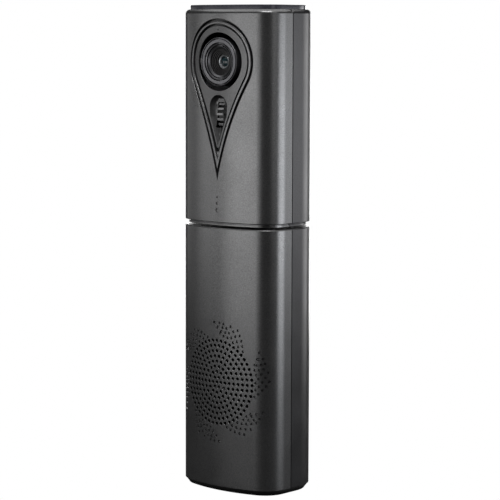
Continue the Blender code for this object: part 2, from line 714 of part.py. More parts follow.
def make_face():
    lens_hole = circle(0, LENS_Z, LENS_OPENING, ROUND)
    slot_half = WHEEL_WIDTH / 2 + 0.0004
    touch = math.sqrt(WHEEL_RADIUS ** 2 - (WHEEL_RADIUS - (CARRIER_IN - WHEEL_RECESS)) ** 2)
    slot_reach = touch + 0.0012
    slot = [(-slot_half, WHEEL_Z - slot_reach), (slot_half, WHEEL_Z - slot_reach),
            (slot_half, WHEEL_Z + slot_reach), (-slot_half, WHEEL_Z + slot_reach)]
    rim_outer = teardrop(GROOVE)
    rim_inner = teardrop(GROOVE + RIM_WIDTH)
    sensor_z = rim_inner[0][1] + 0.0004
    sensor_radius = 0.0008
    mic_z = LENS_Z + 0.0221
    mic = circle(0, mic_z, 0.0006, 8)
    sensor_hole = circle(0, sensor_z + 0.0016, sensor_radius + FIT)
    slab("bezel_carrier", teardrop(-CARRIER_LAP), [lens_hole, slot, sensor_hole, mic],
         on_front(CARRIER_OUT, CARRIER_IN), "black_plastic", spacing=0.006)
    slab("teardrop_rim", rim_outer, [rim_inner], on_front(0, WALL), "graphite", spacing=0.006)
    inner = GROOVE + RIM_WIDTH + INNER_GROOVE
    slab("lens_faceplate", teardrop(inner), [lens_hole, scoop(), mic],
         on_front(FACE_RECESS, WALL), "graphite", spacing=0.006)
    sensor_y = FRONT_Y + CARRIER_OUT
    cylinder("light_sensor", sensor_radius, "y", (0, 0, sensor_z + 0.0016), sensor_y,
             sensor_y + 0.004, "glass")
    board_y = FRONT_Y + CARRIER_IN + 0.0015
    box("mic_board", (-0.008, board_y, mic_z - 0.0005), (0.008, board_y + 0.0012, mic_z + 0.0080), "board")


# ---------------------------------------------------------------- tilting lens and its gears

ARM_IN = LENS_RADIUS + 0.0011
ARM_OUT = ARM_IN + ARM_THICKNESS
GEAR_NEAR = -(ARM_OUT + 2 * FIT)
GEAR_FAR = GEAR_NEAR - GEAR_WIDTH
PIN_RADIUS = 0.0020
AXLE_RADIUS = 0.0015
RUNNING = 0.0002
HUB_CLEARANCE = 0.0005


def meeting_point(a, b, from_a, from_b):
    """The point at given distances from two (y, z) points, on the rear side."""
    along = math.dist(a, b)
    x = (from_a ** 2 - from_b ** 2 + along ** 2) / (2 * along)
    h = math.sqrt(from_a ** 2 - x ** 2)
    ux, uz = (b[0] - a[0]) / along, (b[1] - a[1]) / along
    return a[0] + ux * x - uz * h, a[1] + uz * x + ux * h


TILT_AXIS = (TILT_Y, LENS_Z)
WHEEL_AXIS = (WHEEL_Y, WHEEL_Z)
IDLER_AXIS = meeting_point(TILT_AXIS, WHEEL_AXIS, MODULE * (SECTOR_TEETH + IDLER_TEETH) / 2,
                           MODULE * (IDLER_TEETH + PINION_TEETH) / 2)


def tooth(teeth, angle, flank_points=3):
    """One involute tooth about a direction, from root to root, as (radius, angle) points."""
    pitch = MODULE * teeth / 2
    root, tip = pitch - 1.2 * MODULE, pitch + 0.95 * MODULE
    base = pitch * math.cos(math.radians(20))

    def involute(radius):
        turn = math.acos(min(1.0, base / radius))
        return math.tan(turn) - turn

    half = (math.pi * MODULE / 2 - BACKLASH) / (2 * pitch) + involute(pitch)
    radii = steps(max(base, root), tip, flank_points - 1)
    flank = [(r, half - involute(r)) for r in radii]
    low = [(root, flank[0][1])] if root < base else []
    left = [(r, angle - a) for r, a in low + flank]
    right = [(r, angle + a) for r, a in (low + flank)[::-1]]
    return left + right


def placed(centre, polar):
    return [(centre[0] + r * math.cos(a), centre[1] + r * math.sin(a)) for r, a in polar]


def direction(a, b):
    return math.atan2(b[1] - a[1], b[0] - a[0])


def gear(name, teeth, centre, phase, bore, slot):
    polar = []
    for i in range(teeth):
        polar += tooth(teeth, phase + 2 * math.pi * i / teeth)
    slab(name, placed(centre, polar), [circle(*centre, bore, 16)], across(GEAR_FAR, GEAR_NEAR), slot)


def make_gears():
    towards_idler = direction(TILT_AXIS, IDLER_AXIS)
    sector = []
    reach = 3
    for i in range(-reach, reach + 1):
        sector += tooth(SECTOR_TEETH, towards_idler + 2 * math.pi * i / SECTOR_TEETH)
    hub = TILT_Y - inner_front_y(-GEAR_FAR, CARRIER_IN) - HUB_CLEARANCE
    sector += [(hub, towards_idler + a) for a in steps(math.radians(70), math.radians(290), 8)]
    slab("tilt_sector", placed(TILT_AXIS, sector), [circle(*TILT_AXIS, PIN_RADIUS + FIT, 16)],
         across(GEAR_FAR, GEAR_NEAR), "pom")

    idler_pitch = 2 * math.pi / IDLER_TEETH
    idler_phase = direction(IDLER_AXIS, TILT_AXIS) + idler_pitch / 2
    gear("idler_gear", IDLER_TEETH, IDLER_AXIS, idler_phase, AXLE_RADIUS + RUNNING, "pom")

    lag = (idler_phase - direction(IDLER_AXIS, WHEEL_AXIS)) % idler_pitch
    pinion_space = direction(WHEEL_AXIS, IDLER_AXIS) - lag * IDLER_TEETH / PINION_TEETH
    pinion_phase = pinion_space + math.pi / PINION_TEETH
    gear("wheel_pinion", PINION_TEETH, WHEEL_AXIS, pinion_phase, AXLE_RADIUS + FIT, "pom")
    cylinder("idler_pin", AXLE_RADIUS, "x", (0, *IDLER_AXIS), GEAR_FAR - 0.0005, -ARM_IN, "steel", 16)
    cylinder("wheel_axle", AXLE_RADIUS, "x", (0, *WHEEL_AXIS), GEAR_FAR - 0.0005, ARM_OUT, "steel", 16)


def make_wheel():
    rib = 0.0011
    outline = []
    for i in range(WHEEL_RIBS):
        middle = 2 * math.pi * i / WHEEL_RIBS
        half = math.pi / WHEEL_RIBS
        outline += [(WHEEL_RADIUS, middle - half * 0.45), (WHEEL_RADIUS, middle + half * 0.45),
                    (WHEEL_RADIUS - rib, middle + half * 0.75), (WHEEL_RADIUS - rib, middle + half * 1.25)]
    half_width = WHEEL_WIDTH / 2
    slab("thumb_wheel", placed(WHEEL_AXIS, outline), [circle(*WHEEL_AXIS, AXLE_RADIUS + FIT, 16)],
         across(-half_width, half_width), "black_plastic")


def make_lens():
    face = FRONT_Y + LENS_RECESS
    centre = (0, 0, LENS_Z)
    barrel = 0.0090
    rear = 0.0190
    housing_profile = [
        (barrel + FIT, 0.0016), (0.0112, 0.0012), (0.0129, 0.0003), (0.0152, 0.0), (0.0157, 0.0006),
        (0.0161, 0.0), (LENS_RADIUS - 0.0003, 0.0), (LENS_RADIUS, 0.0003), (LENS_RADIUS, rear),
        (0, rear), (0, 0.0152), (barrel + FIT, 0.0152)]
    housing = turned("lens_housing", [(r, face + d) for r, d in housing_profile], "y", centre, "graphite")
    for name, low, high in (("left", GEAR_FAR - 0.0003, -0.014), ("right", 0.014, ARM_OUT + 0.0003)):
        pin = cylinder(f"trunnion_{name}", PIN_RADIUS, "x", (0, *TILT_AXIS), low, high, "graphite", 16)
        join(housing, pin)
    barrel_profile = [
        (0.0047, 0.0052), (0.0085, 0.0022), (barrel, 0.0020), (barrel, 0.0148), (0, 0.0148),
        (0, 0.0090), (0.0036, 0.0090), (0.0036, 0.0058)]
    turned("lens_barrel", [(r, face + d) for r, d in barrel_profile], "y", centre, "black_plastic")
    glass_profile = [(0, 0.0050), (0.0012, 0.0051), (0.0023, 0.0055), (0.0033, 0.0062), (0.0033, 0.0085),
                     (0, 0.0085)]
    turned("front_glass", [(r, face + d) for r, d in glass_profile], "y", centre, "glass", 24)
    block = face + rear + FIT
    half = 0.0115
    box("sensor_block", (-half, block, LENS_Z - half), (half, block + 0.005, LENS_Z + half), "board")


def make_bracket():
    front = TILT_Y - 0.0045
    bridge = TILT_Y + 0.0236
    back = bridge + ARM_THICKNESS
    low, high = WHEEL_Z - 0.008, LENS_Z + 0.010
    plan_loop = [(-ARM_OUT, front), (-ARM_IN, front), (-ARM_IN, bridge), (ARM_IN, bridge),
                 (ARM_IN, front), (ARM_OUT, front), (ARM_OUT, back), (-ARM_OUT, back)]
    bracket = skinned("tilt_bracket", [[(x, y, z) for x, y in plan_loop] for z in (low, high)], "steel")
    bores = (("trunnion", TILT_AXIS, PIN_RADIUS + RUNNING, 1),
             ("axle", WHEEL_AXIS, AXLE_RADIUS + RUNNING, 1),
             ("idler", IDLER_AXIS, AXLE_RADIUS + RUNNING, 0))
    for name, spot, radius, through in bores:
        end = 0.03 if through else 0.0
        cut(bracket, cylinder(f"{name}_bore", radius, "x", (0, *spot), -0.03, end, "steel", 16))
    box("camera_board", (-0.016, back + 0.003, low), (0.016, back + 0.0046, high), "board")


make_foot_and_frame()
make_lower_shells()
make_ports()
make_speaker()
make_lower_board()
make_swivel()
make_head_shells()
make_top_cap()
make_face()
make_bracket()
make_lens()
make_gears()
make_wheel()
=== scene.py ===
"""The looks of the conference camera tower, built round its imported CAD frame. Metres, +Z up."""

import json
import math

import bmesh
import bpy
import numpy as np
from mathutils import Matrix, Vector, kdtree
from mathutils.geometry import delaunay_2d_cdt


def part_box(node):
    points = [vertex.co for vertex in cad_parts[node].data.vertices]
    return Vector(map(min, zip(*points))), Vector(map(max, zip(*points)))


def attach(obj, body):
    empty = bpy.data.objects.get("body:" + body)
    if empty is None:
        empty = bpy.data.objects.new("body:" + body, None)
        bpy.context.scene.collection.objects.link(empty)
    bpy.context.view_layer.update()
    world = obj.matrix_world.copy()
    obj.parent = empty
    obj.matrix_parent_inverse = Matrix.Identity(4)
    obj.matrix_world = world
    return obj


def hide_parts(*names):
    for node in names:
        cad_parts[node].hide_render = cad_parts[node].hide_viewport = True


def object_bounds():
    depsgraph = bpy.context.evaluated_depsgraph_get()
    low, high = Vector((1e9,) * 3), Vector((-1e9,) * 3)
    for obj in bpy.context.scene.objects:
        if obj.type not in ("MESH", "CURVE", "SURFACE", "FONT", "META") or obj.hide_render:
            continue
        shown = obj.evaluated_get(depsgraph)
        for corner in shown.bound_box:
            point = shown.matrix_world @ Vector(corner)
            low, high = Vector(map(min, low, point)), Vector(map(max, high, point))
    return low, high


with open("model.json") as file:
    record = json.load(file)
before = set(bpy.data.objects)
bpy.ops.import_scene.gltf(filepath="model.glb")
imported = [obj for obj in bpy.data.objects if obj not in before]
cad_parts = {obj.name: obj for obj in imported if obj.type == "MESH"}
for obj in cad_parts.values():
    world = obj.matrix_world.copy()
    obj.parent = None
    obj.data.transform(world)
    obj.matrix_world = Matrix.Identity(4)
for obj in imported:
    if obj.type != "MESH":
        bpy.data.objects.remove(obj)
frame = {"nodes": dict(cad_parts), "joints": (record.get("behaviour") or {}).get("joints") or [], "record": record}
cad_low, cad_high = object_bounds()
joints = {joint["name"]: joint for joint in frame["joints"]}

MM = 0.001

# Housing outline, as the CAD has it
HALF_WIDTH = cad_high[0]
FRONT_Y = cad_low[1]
REAR_Y = cad_high[1]
FRONT_RADIUS = 103.2 * MM
FRONT_CORNER = 18.9 * MM
REAR_RADIUS = 181.4 * MM
REAR_CORNER = 27 * MM
WALL = 2.4 * MM
SEAM_Y = -4.4 * MM
SEAM_HALF_GAP = 0.12 * MM
SEAM_CHAMFER = 0.32 * MM

# Heights
LOWER_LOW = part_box("lower_front_shell")[0][2]
LOWER_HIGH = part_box("lower_front_shell")[1][2]
UPPER_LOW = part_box("upper_front_shell")[0][2]
UPPER_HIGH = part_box("upper_front_shell")[1][2]
CAP_TOP = cad_high[2]
FOOT_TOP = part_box("foot_pad")[1][2]
RIM_INSET = 2.5 * MM
TOP_EDGE = 3.1 * MM
TOP_LIP = 3.4 * MM

# Rear port recess
PORT_HALF = 25 * MM
PORT_LOW = 14 * MM
PORT_HIGH = 34 * MM
PORT_CORNER = 3 * MM
PORT_EDGE = 0.4 * MM

# Camera head front
LENS_Z = joints["lens_tilt"]["pos_m"][2]
TILT_Y = joints["lens_tilt"]["pos_m"][1]
WHEEL_Y = joints["wheel_turn"]["pos_m"][1]
WHEEL_Z = joints["wheel_turn"]["pos_m"][2]
WHEEL_RADIUS = WHEEL_Y - FRONT_Y - 2.65 * MM
WHEEL_DEEP = 1.8 * MM
WHEEL_HALF = 2.8 * MM
WHEEL_BEVEL = 0.4 * MM
WHEEL_EASE = 0.5 * MM
WHEEL_RIBS = 25
DROP_RADIUS = 29.5 * MM
DROP_TIP_Z = 219 * MM
DROP_FLANK = 245 * MM
FLANK_STEP = 0.0068
LENS_OPENING = 20.1 * MM
LENS_RECESS = 1.5 * MM
RIM_OUT = 1.6 * MM
RIM_IN = 3.5 * MM
RIM_EDGE = 0.38 * MM
GROOVE_FLOOR = 2.7 * MM
TIP_TOP = 238.9 * MM
TIP_DEPTH = 0.8 * MM
SENSOR_Z = sum(corner[2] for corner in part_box("light_sensor")) / 2
SENSOR_RADIUS = 0.62 * MM
FACE_OUT = 4.7 * MM
FACE_RECESS = 0.9 * MM
FACE_EDGE = 0.25 * MM
FACE_THICK = 0.7 * MM
ARCH_Z = 238.6 * MM
ARCH_RADIUS = 3.2 * MM
SLOT_HALF = 3.2 * MM
SLOT_LOW = 255.2 * MM
SLOT_HIGH = 273.0 * MM
SLOT_CORNER = 0.8 * MM
SCOOP_OFFSET = 6.0 * MM
SCOOP_RADIUS = 8.2 * MM
SCOOP_Z = 269.9 * MM
SCOOP_DEPTH = 3.5 * MM
SCOOP_SLOPE = 6.4 * MM
MIC_Z = LENS_Z + 22.1 * MM
MIC_RADIUS = 0.5 * MM
LAMPS = ((198.2 * MM, 1.3 * MM), (203.0 * MM, 0.95 * MM), (207.3 * MM, 0.6 * MM))
LAMP_EDGE = 0.15 * MM

# Speaker grille
SPEAKER_Z = (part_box("speaker_frame")[0][2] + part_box("speaker_frame")[1][2]) / 2
HOLE_RINGS = 8
RING_PITCH = 3.68 * MM
HOLE_RADIUS = 1.15 * MM
HOLE_EDGE = 0.10 * MM
DIMPLE_RADIUS = 1.0 * MM
DIMPLE_DEPTH = 1.2 * MM
PETAL_INNER = 32.3 * MM
PETAL_OUTER = 42.0 * MM
PETALS = 6


# ---------------------------------------------------------------- outline

def broad_arc(half, corner, radius):
    across = half - corner
    along = math.sqrt((radius - corner) ** 2 - across ** 2)
    return math.atan2(across, along), along


class Side:
    """One half of the outline, seen from above: the front or the rear, from seam to seam.

    A place on it is an arc length s from its centre line, growing towards +X.
    """

    def __init__(self, facing, radius, corner):
        self.facing = facing
        self.radius = radius
        self.corner = corner
        self.angle, along = broad_arc(HALF_WIDTH, corner, radius)
        surface = FRONT_Y if facing < 0 else REAR_Y
        self.centre_y = surface - facing * radius
        self.corner_y = self.centre_y + facing * along
        self.broad = radius * self.angle
        self.round = self.broad + corner * (math.pi / 2 - self.angle)
        seam = SEAM_Y + facing * SEAM_HALF_GAP
        self.end = self.round + abs(self.corner_y - seam)

    def stations(self, s):
        """Plan point and outward normal at each arc length."""
        side = np.where(s < 0, -1.0, 1.0)
        s = np.abs(s)
        corner_angle = self.angle + (s - self.broad) / self.corner
        turn = np.where(s <= self.broad, s / self.radius, np.minimum(corner_angle, math.pi / 2))
        wide = s <= self.broad
        x = np.where(wide, self.radius * np.sin(turn),
                     HALF_WIDTH - self.corner + self.corner * np.sin(turn))
        y = np.where(wide, self.centre_y + self.facing * self.radius * np.cos(turn),
                     self.corner_y + self.facing * self.corner * np.cos(turn))
        y = y - self.facing * np.maximum(0.0, s - self.round)
        return side * x, y, side * np.sin(turn), self.facing * np.cos(turn)

    def place(self, s, z, inset):
        s, z, inset = (np.asarray(v, float) for v in (s, z, inset))
        x, y, nx, ny = self.stations(s)
        return np.stack([x - inset * nx, y - inset * ny, z + 0 * s], axis=-1)

    def columns(self):
        """Arc lengths of the mesh's columns, closer together round the corners."""
        half = list(np.linspace(0, self.broad, 11))
        half += list(np.linspace(self.broad, self.round, 15))[1:]
        flat_end = self.end - SEAM_CHAMFER
        half += list(np.linspace(self.round, flat_end, 4))[1:]
        half += [self.end - 0.3 * SEAM_CHAMFER, self.end]
        return [-s for s in half[:0:-1]] + half

    def edge(self, s):
        """How far the outer face drops at the seam, where its edge is eased."""
        t = np.clip((np.abs(s) - (self.end - SEAM_CHAMFER)) / SEAM_CHAMFER, 0, 1)
        return SEAM_CHAMFER * t ** 1.6


FRONT = Side(-1, FRONT_RADIUS, FRONT_CORNER)
REAR = Side(1, REAR_RADIUS, REAR_CORNER)


# ---------------------------------------------------------------- mesh helpers

def steps(start, end, count):
    return [start + (end - start) * i / count for i in range(count + 1)]


def circle(cx, cz, radius, count):
    angles = [2 * math.pi * i / count for i in range(count)]
    return [(cx + radius * math.cos(a), cz + radius * math.sin(a)) for a in angles]


def inside(point, loop):
    x, y = point
    found = False
    for (x0, y0), (x1, y1) in zip(loop, loop[1:] + loop[:1]):
        if (y0 > y) != (y1 > y) and x < x0 + (y - y0) * (x1 - x0) / (y1 - y0):
            found = not found
    return found


SHARP_ANGLE = math.radians(32)
WELD = 0.001 * MM


def make_object(name, points, faces):
    mesh = bpy.data.meshes.new(name)
    mesh.from_pydata([tuple(p) for p in points], [], [tuple(f) for f in faces])
    shape = bmesh.new()
    shape.from_mesh(mesh)
    bmesh.ops.remove_doubles(shape, verts=shape.verts[:], dist=WELD)
    bmesh.ops.recalc_face_normals(shape, faces=shape.faces[:])
    shape.to_mesh(mesh)
    shape.free()
    mesh.shade_smooth()
    mesh.set_sharp_from_angle(angle=SHARP_ANGLE)
    item = bpy.data.objects.new(name, mesh)
    bpy.context.scene.collection.objects.link(item)
    return item


def triangulate(loops, rings, dots, lines=()):
    """Constrained triangles of a flat region: loops bound it, rings, lines and dots only shape it."""
    flat = []
    edges = []
    for loop in loops + rings:
        start = len(flat)
        flat += loop
        edges += [(start + i, start + (i + 1) % len(loop)) for i in range(len(loop))]
    for line in lines:
        start = len(flat)
        flat += line
        edges += [(start + i, start + i + 1) for i in range(len(line) - 1)]
    flat += dots
    verts, _, faces, origin, _, _ = delaunay_2d_cdt(
        [Vector((u / MM, v / MM)) for u, v in flat], edges, [], 0, 1e-5)
    return np.array([(p.x * MM, p.y * MM) for p in verts]), faces, origin


def kept_faces(uv, faces, origin, loops):
    """The triangles inside the first loop and outside the other ones."""
    owner = {}
    count = 0
    for number, loop in enumerate(loops):
        for i in range(count, count + len(loop)):
            owner[i] = number
        count += len(loop)
    owners = [{owner[i] for i in ids if i in owner} for ids in origin]
    kept = []
    for face in faces:
        common = set.intersection(*(owners[i] for i in face))
        if not common:
            kept.append(tuple(face))
            continue
        loop = loops[common.pop()]
        middle = tuple(uv[list(face)].mean(axis=0))
        is_hole = loop is not loops[0]
        if inside(middle, loop) != is_hole:
            kept.append(tuple(face))
    return kept


def border_edges(faces):
    """The edges that belong to one face only."""
    used = {(a, b) for face in faces for a, b in zip(face, face[1:] + face[:1])}
    return [(a, b) for a, b in used if (b, a) not in used]


def slab_faces(faces, count, border):
    """Faces of a plate whose two faces share one triangulation of count points."""
    walls = [(b, a, a + count, b + count) for a, b in border]
    behind = [tuple(i + count for i in reversed(face)) for face in faces]
    return list(faces) + behind + walls


def stacked_faces(size, count):
    """Faces of a closed solid made of a stack of rings, each of size points."""
    faces = []
    for i in range(count - 1):
        a, b = i * size, (i + 1) * size
        faces += [(a + k, a + (k + 1) % size, b + (k + 1) % size, b + k) for k in range(size)]
    return faces + [tuple(range(size)), tuple(range(size * (count - 1), size * count))]


def outer_normals(points, side):
    """Outward normals of the housing surface, and which points lie on it."""
    x, y = np.abs(points[:, 0]), points[:, 1]
    sign = np.where(points[:, 0] < 0, -1.0, 1.0)
    corner_x = HALF_WIDTH - side.corner
    broad_x = side.radius * math.sin(side.angle)
    straight = side.facing * (side.corner_y - y) > 0
    wide = x <= broad_x + 1e-6
    cx = np.where(wide, 0.0, corner_x)
    cy = np.where(wide, side.centre_y, np.where(straight, y, side.corner_y))
    dx, dy = x - cx, y - cy
    length = np.hypot(dx, dy)
    radius = np.where(wide, side.radius, side.corner)
    normals = np.stack([sign * dx / length, dy / length, 0 * x], axis=-1)
    return normals, np.abs(length - radius) < 0.003 * MM


def smooth_surface(item, side):
    """Gives the faces that lie on the housing surface its exact normals."""
    mesh = item.data
    points = np.empty(3 * len(mesh.vertices))
    mesh.vertices.foreach_get("co", points)
    points = points.reshape(-1, 3)
    normals, on = outer_normals(points, side)
    corners = np.empty(len(mesh.loops), int)
    mesh.loops.foreach_get("vertex_index", corners)
    starts = np.empty(len(mesh.polygons), int)
    totals = np.empty(len(mesh.polygons), int)
    facing = np.empty(3 * len(mesh.polygons))
    mesh.polygons.foreach_get("loop_start", starts)
    mesh.polygons.foreach_get("loop_total", totals)
    mesh.polygons.foreach_get("normal", facing)
    facing = facing.reshape(-1, 3)
    owner = np.repeat(np.arange(len(starts)), totals)
    good = on[corners] & ((normals[corners] * facing[owner]).sum(axis=1) > 0.9)
    whole = np.bincount(owner, weights=good, minlength=len(starts)) == totals
    custom = np.where(whole[owner][:, None], normals[corners], 0.0)
    mesh.normals_split_custom_set(custom.tolist())


def ease(t, reach):
    """Depth of a quarter-round edge at distance t from the edge, for an edge radius."""
    t = min(max(t / reach, 0.0), 1.0)
    return reach * (1 - math.sqrt(max(0.0, 1 - (1 - t) ** 2)))


def wall_shell(name, side, low_rows, high_rows, holes=(), rings=(), drop=None, avoid=None):
    """One housing half: a thick wall from seam to seam, with holes in its straight part.

    The rows are (inset, z), from the outer face round the edge to the inner face.
    drop(s, z) is how far the outer face sinks there; avoid(s, z) keeps plain points away.
    """
    columns = side.columns()
    z0, z1 = low_rows[0][1], high_rows[0][1]
    count = max(2, round((z1 - z0) / (6 * MM)))
    levels = steps(z0, z1, count)
    bottom = [(s, z0) for s in columns]
    right = [(side.end, z) for z in levels[1:-1]]
    outer = bottom + right + [(s, z1) for s in columns[::-1]] + [(-side.end, z) for z in levels[-2:0:-1]]
    dots = [(s, z) for s in columns[1:-1] for z in levels[1:-1] if avoid is None or not avoid(s, z)]
    loops = [outer] + list(holes)
    uv, faces, origin = triangulate(loops, list(rings), dots)
    faces = kept_faces(uv, faces, origin, loops)
    sink = np.array([drop(u, v) if drop else 0.0 for u, v in uv]) + side.edge(uv[:, 0])
    front = side.place(uv[:, 0], uv[:, 1], sink)
    back = side.place(uv[:, 0], uv[:, 1], WALL)

    def on_level(a, b):
        return any(abs(uv[a][1] - z) < 1e-7 and abs(uv[b][1] - z) < 1e-7 for z in (z0, z1))

    border = [(a, b) for a, b in border_edges(faces) if not on_level(a, b)]
    points = [front, back]
    faces = slab_faces(faces, len(uv), border)
    start = 2 * len(uv)
    s = np.array(columns)
    for rows in (low_rows, high_rows):
        insets = [inset for inset, z in rows]
        extreme = max(range(len(rows)), key=lambda i: abs(rows[i][1] - (z0 + z1) / 2))
        turn_row = next(i for i in range(len(rows)) if abs(rows[i][1] - rows[extreme][1]) < 1e-9)
        for i, (inset, z) in enumerate(rows):
            outside = i <= turn_row
            points.append(side.place(s, z, inset + (side.edge(s) if outside else 0.0)))
        size = len(columns)
        for i in range(len(rows) - 1):
            a, b = start + i * size, start + (i + 1) * size
            faces += [(a + k, a + k + 1, b + k + 1, b + k) for k in range(size - 1)]
        for k in (0, size - 1):
            faces.append(tuple(start + i * size + k for i in range(len(rows))))
        start += size * len(rows)
    item = make_object(name, np.vstack(points), faces)
    smooth_surface(item, side)
    return item


def plate(name, loops, region, front, back, rings=(), lines=(), dots=()):
    """A plate on the housing's curved front: front and back give its two insets at (s, z)."""
    uv, faces, _ = triangulate(list(loops), list(rings), list(dots), lines)
    faces = [tuple(face) for face in faces if region(*uv[list(face)].mean(axis=0))]
    outside = FRONT.place(uv[:, 0], uv[:, 1], np.array([front(u, v) for u, v in uv]))
    behind = FRONT.place(uv[:, 0], uv[:, 1], np.array([back(u, v) for u, v in uv]))
    faces = slab_faces(faces, len(uv), border_edges(faces))
    return make_object(name, np.vstack([outside, behind]), faces)


def turned(name, profile, segments=96):
    """A closed profile turned about the lens axis: (radius, depth behind the lens's face) in mm."""
    face_y = FRONT_Y + LENS_RECESS
    points = []
    faces = []
    rows = []
    for radius, depth in profile:
        r, y = radius * MM, face_y + depth * MM
        rows.append(list(range(len(points), len(points) + (segments if r else 1))))
        for i in range(segments if r else 1):
            a = 2 * math.pi * i / segments
            points.append((r * math.cos(a), y, LENS_Z + r * math.sin(a)))
    for row, following in zip(rows, rows[1:] + rows[:1]):
        for i in range(segments):
            j = (i + 1) % segments
            corners = [row[i % len(row)], row[j % len(row)],
                       following[j % len(following)], following[i % len(following)]]
            face = [c for n, c in enumerate(corners) if c != corners[n - 1]]
            if len(face) > 2:
                faces.append(face)
    return make_object(name, points, faces)


def outline_ring(inset, z):
    """One closed ring of points round the whole housing."""
    rings = []
    for side, flip in ((FRONT, 1), (REAR, -1)):
        s = np.array([c for c in side.columns() if abs(c) <= side.round + 1e-9])[::flip]
        rings.append(side.place(s, z, inset))
    return np.vstack(rings)


def lofted(name, rows):
    """A solid whose level outlines are the housing's own, from rows of (inset, z)."""
    rings = [outline_ring(inset, z) for inset, z in rows]
    return make_object(name, np.vstack(rings), stacked_faces(len(rings[0]), len(rings)))


def arc_rows(inset, z, radius, start, end, count):
    """Rows of (inset, z) along an arc about a centre; angles in degrees, 0 points outwards."""
    angles = [math.radians(a) for a in steps(start, end, count)]
    return [(inset - radius * math.cos(a), z + radius * math.sin(a)) for a in angles]


# ---------------------------------------------------------------- materials

def new_material(name, metallic=0.0, ior=1.5):
    material = bpy.data.materials.new(name)
    material.use_nodes = True
    shader = material.node_tree.nodes["Principled BSDF"]
    shader.inputs["Metallic"].default_value = metallic
    shader.inputs["IOR"].default_value = ior
    return material, shader


def noise(material, scale, detail=2.0, roughness=0.5):
    """Procedural noise in the object's own metres."""
    tree = material.node_tree
    place = tree.nodes.new("ShaderNodeTexCoord")
    texture = tree.nodes.new("ShaderNodeTexNoise")
    texture.inputs["Scale"].default_value = scale
    texture.inputs["Detail"].default_value = detail
    texture.inputs["Roughness"].default_value = roughness
    tree.links.new(place.outputs["Object"], texture.inputs["Vector"])
    return texture.outputs["Fac"]


def ramp(material, source, low, high, start=0.35, end=0.65):
    """Turns noise into a colour or a number between two values."""
    tree = material.node_tree
    node = tree.nodes.new("ShaderNodeValToRGB")
    node.color_ramp.elements[0].position = start
    node.color_ramp.elements[1].position = end
    node.color_ramp.elements[0].color = (*low, 1) if isinstance(low, tuple) else (low, low, low, 1)
    node.color_ramp.elements[1].color = (*high, 1) if isinstance(high, tuple) else (high, high, high, 1)
    tree.links.new(source, node.inputs["Fac"])
    return node.outputs["Color"]


def bump(material, shader, source, strength, distance):
    tree = material.node_tree
    node = tree.nodes.new("ShaderNodeBump")
    node.inputs["Strength"].default_value = strength
    node.inputs["Distance"].default_value = distance
    tree.links.new(source, node.inputs["Height"])
    tree.links.new(node.outputs["Normal"], shader.inputs["Normal"])


GRAIN_HEIGHT = 0.00006


def grained(name, dark, light, rough, metallic, grain=1500, depth=0.25, ior=1.5):
    """A moulded, cast or coated surface with a fine grain in colour, gloss and relief."""
    material, shader = new_material(name, metallic, ior)
    fine = noise(material, grain, 3.0, 0.65)
    broad = noise(material, 45)
    tree = material.node_tree
    colour = ramp(material, fine, dark, light, 0.3, 0.7)
    tree.links.new(colour, shader.inputs["Base Color"])
    low, high = rough
    tree.links.new(ramp(material, broad, low, high, 0.3, 0.7), shader.inputs["Roughness"])
    bump(material, shader, fine, depth, GRAIN_HEIGHT)
    return material


def tinted(colour, factor):
    return tuple(min(1.0, c * factor) for c in colour)


GRAPHITE = (0.100, 0.100, 0.101)
CHARCOAL = (0.045, 0.0445, 0.046)

# The two colours of the grain, the range of roughness, metallic, grain, relief and refraction
FINISHES = {
    "graphite": (tinted(GRAPHITE, 0.72), tinted(GRAPHITE, 1.35), (0.27, 0.31), 0.9),
    "charcoal": (tinted(CHARCOAL, 0.8), tinted(CHARCOAL, 1.25), (0.28, 0.33), 0.9),
    "cap": ((0.030, 0.030, 0.038), (0.042, 0.042, 0.052), (0.16, 0.22), 0.3, 1500, 0.05),
    "black_plastic": ((0.006, 0.006, 0.0065), (0.012, 0.012, 0.013), (0.42, 0.55), 0.0),
    "rubber": ((0.0015, 0.0015, 0.0015), (0.004, 0.004, 0.004), (0.6, 0.75), 0.0, 900, 0.4, 1.3),
    "steel": ((0.42, 0.42, 0.43), (0.58, 0.58, 0.59), (0.25, 0.38), 1.0, 1200, 0.1),
    "pom": ((0.62, 0.62, 0.59), (0.72, 0.72, 0.69), (0.4, 0.5), 0.0, 700, 0.1),
    "cloth": ((0.003, 0.003, 0.003), (0.010, 0.010, 0.010), (0.85, 0.95), 0.0, 2600, 0.9),
    "cone_paper": ((0.012, 0.012, 0.012), (0.03, 0.03, 0.03), (0.7, 0.85), 0.0, 800, 0.4),
    "magnet": ((0.05, 0.05, 0.055), (0.09, 0.09, 0.095), (0.55, 0.7), 0.2, 900, 0.3),
    "board": ((0.008, 0.045, 0.02), (0.014, 0.075, 0.035), (0.35, 0.45), 0.0, 500, 0.15),
    "lamp": ((0.11, 0.11, 0.11), (0.15, 0.15, 0.15), (0.4, 0.5), 0.0, 900, 0.05),
    "face": (tinted(GRAPHITE, 0.55), tinted(GRAPHITE, 0.95), (0.30, 0.36), 0.9),
    "lens_metal": ((0.07, 0.07, 0.075), (0.12, 0.12, 0.126), (0.28, 0.34), 0.9, 1800, 0.12),
    "lens_black": ((0.002, 0.002, 0.002), (0.006, 0.005, 0.006), (0.36, 0.44), 0.0, 900, 0.1, 1.35),
    "collar": ((0.20, 0.21, 0.22), (0.28, 0.29, 0.30), (0.30, 0.38), 0.7, 1800, 0.1),
}
material_table = {name: grained(name, *finish) for name, finish in FINISHES.items()}


